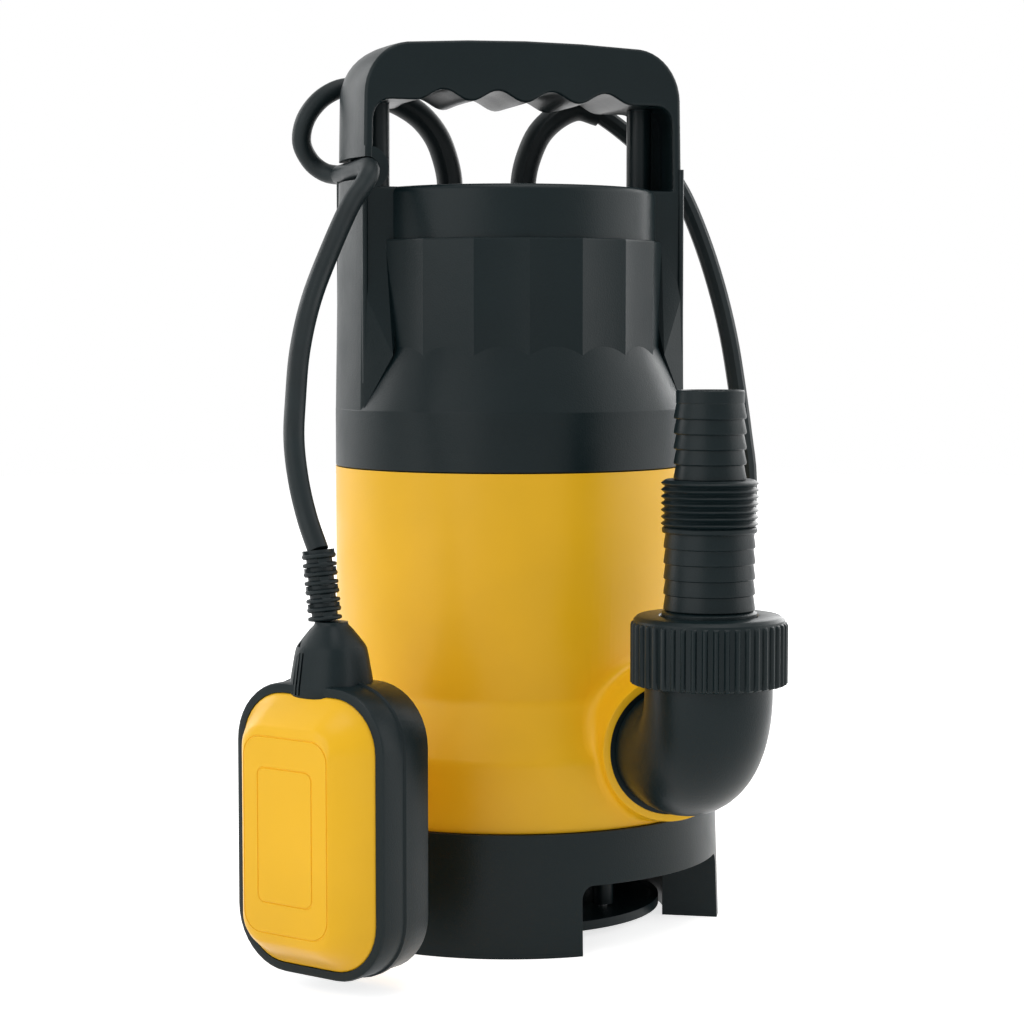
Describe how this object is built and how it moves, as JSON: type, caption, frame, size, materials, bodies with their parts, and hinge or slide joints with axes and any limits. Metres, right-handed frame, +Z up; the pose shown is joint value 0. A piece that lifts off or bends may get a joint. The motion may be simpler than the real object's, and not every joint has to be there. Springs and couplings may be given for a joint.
{
  "type": "submersible sump pump",
  "caption": "Upright submersible sump pump with a carrying handle, strainer base, float switch on a cable, swivelling discharge elbow with stepped hose adapter, and coiled power cord.",
  "frame": {"origin": "on the motor shaft's axis, at the floor the base's legs stand on", "axes": "+Z up along the shaft, -Y the front, square to the handle's face and along the outlet, +X to the right seen from the front"},
  "size_m": [0.255, 0.3915, 0.3282],
  "materials": {
    "black_plastic": "fine satin texture",
    "yellow_plastic": "satin",
    "black_rubber": "smooth",
    "steel": "ground",
    "core_steel": "varnished laminations",
    "winding": "varnished copper wire",
    "aluminium": "as cast",
    "ivory_plastic": "smooth",
    "plug_brass": "plated"
  },
  "bodies": {
    "housing": {"base_strainer": "black_plastic", "suction_plate": "black_plastic", "suction_plate_screws": "steel", "base_screws": "steel", "outer_casing": "yellow_plastic", "top_cover": "black_plastic", "cover_seal": "black_rubber", "volute_casing": "black_plastic", "seal_plate": "aluminium", "seal_plate_ring": "black_rubber", "shaft_seal_seat": "ivory_plastic", "motor_can": "aluminium", "bearing_bracket": "aluminium", "through_bolts": "steel", "stator_core": "core_steel", "stator_windings": "winding", "lower_bearing_outer": "steel", "upper_bearing_outer": "steel", "bearing_balls": "steel", "capacitor": "aluminium", "terminal_block": "ivory_plastic", "thermal_protector": "black_plastic", "power_cable_gland": "black_plastic", "float_cable_gland": "black_plastic", "power_cable_sleeve": "black_rubber", "float_cable_sleeve": "black_rubber", "power_cord": "black_rubber", "power_cord_coil": "black_rubber", "power_cord_tail": "black_rubber", "plug_body": "black_rubber", "plug_pins": "plug_brass", "float_cable_upper": "black_rubber"},
    "rotor": {"shaft": "steel", "rotor_core": "core_steel", "rotor_end_rings": "aluminium", "lower_bearing_inner": "steel", "upper_bearing_inner": "steel", "shaft_seal_head": "black_rubber", "impeller": "black_plastic", "impeller_nut": "steel"},
    "elbow": {"discharge_elbow": "black_plastic", "elbow_seal": "black_rubber", "adapter_gasket": "black_rubber"},
    "adapter": {"hose_adapter": "black_plastic"},
    "nut": {"union_nut": "black_plastic"},
    "float": {"float_cable_lower": "black_rubber", "float_bellows": "black_rubber", "float_collar": "black_plastic", "float_frame": "black_plastic", "float_front_shell": "yellow_plastic", "float_rear_shell": "yellow_plastic", "float_switch": "black_plastic"},
    "ball": {"float_ball": "steel"},
    "plunger": {"float_switch_plunger": "ivory_plastic"}
  },
  "joints": [
    {"name": "rotor_spin", "type": "hinge", "parent": "housing", "child": "rotor", "pos_m": [0, 0, 0.1], "axis": [0, 0, 1], "continuous": true},
    {"name": "elbow_swivel", "type": "hinge", "parent": "housing", "child": "elbow", "pos_m": [0.0365, -0.08, 0.073], "axis": [0, 1, 0], "range_deg": [-45, 90]},
    {"name": "adapter_lift", "type": "slide", "parent": "elbow", "child": "adapter", "axis": [0, 0, 1], "range_m": [0, 0.014]},
    {"name": "nut_turn", "type": "hinge", "parent": "adapter", "child": "nut", "pos_m": [0.0365, -0.114, 0.113], "axis": [0, 0, 1], "range_deg": [0, 1441]},
    {"name": "float_swing", "type": "hinge", "parent": "housing", "child": "float", "pos_m": [-0.0612, -0.027, 0.2782], "axis": [-0.9102, 0.4141, 0], "range_deg": [0, 110]},
    {"name": "ball_roll", "type": "slide", "parent": "float", "child": "ball", "axis": [0, 0, 1], "range_m": [0, 0.024]},
    {"name": "plunger_press", "type": "slide", "parent": "float", "child": "plunger", "axis": [0, 0, 1], "range_m": [0, 0.0012]}
  ],
  "couplings": [
    {"joint": "nut_turn", "follows": "adapter_lift", "rad_per_m": 1795.2}
  ]
}
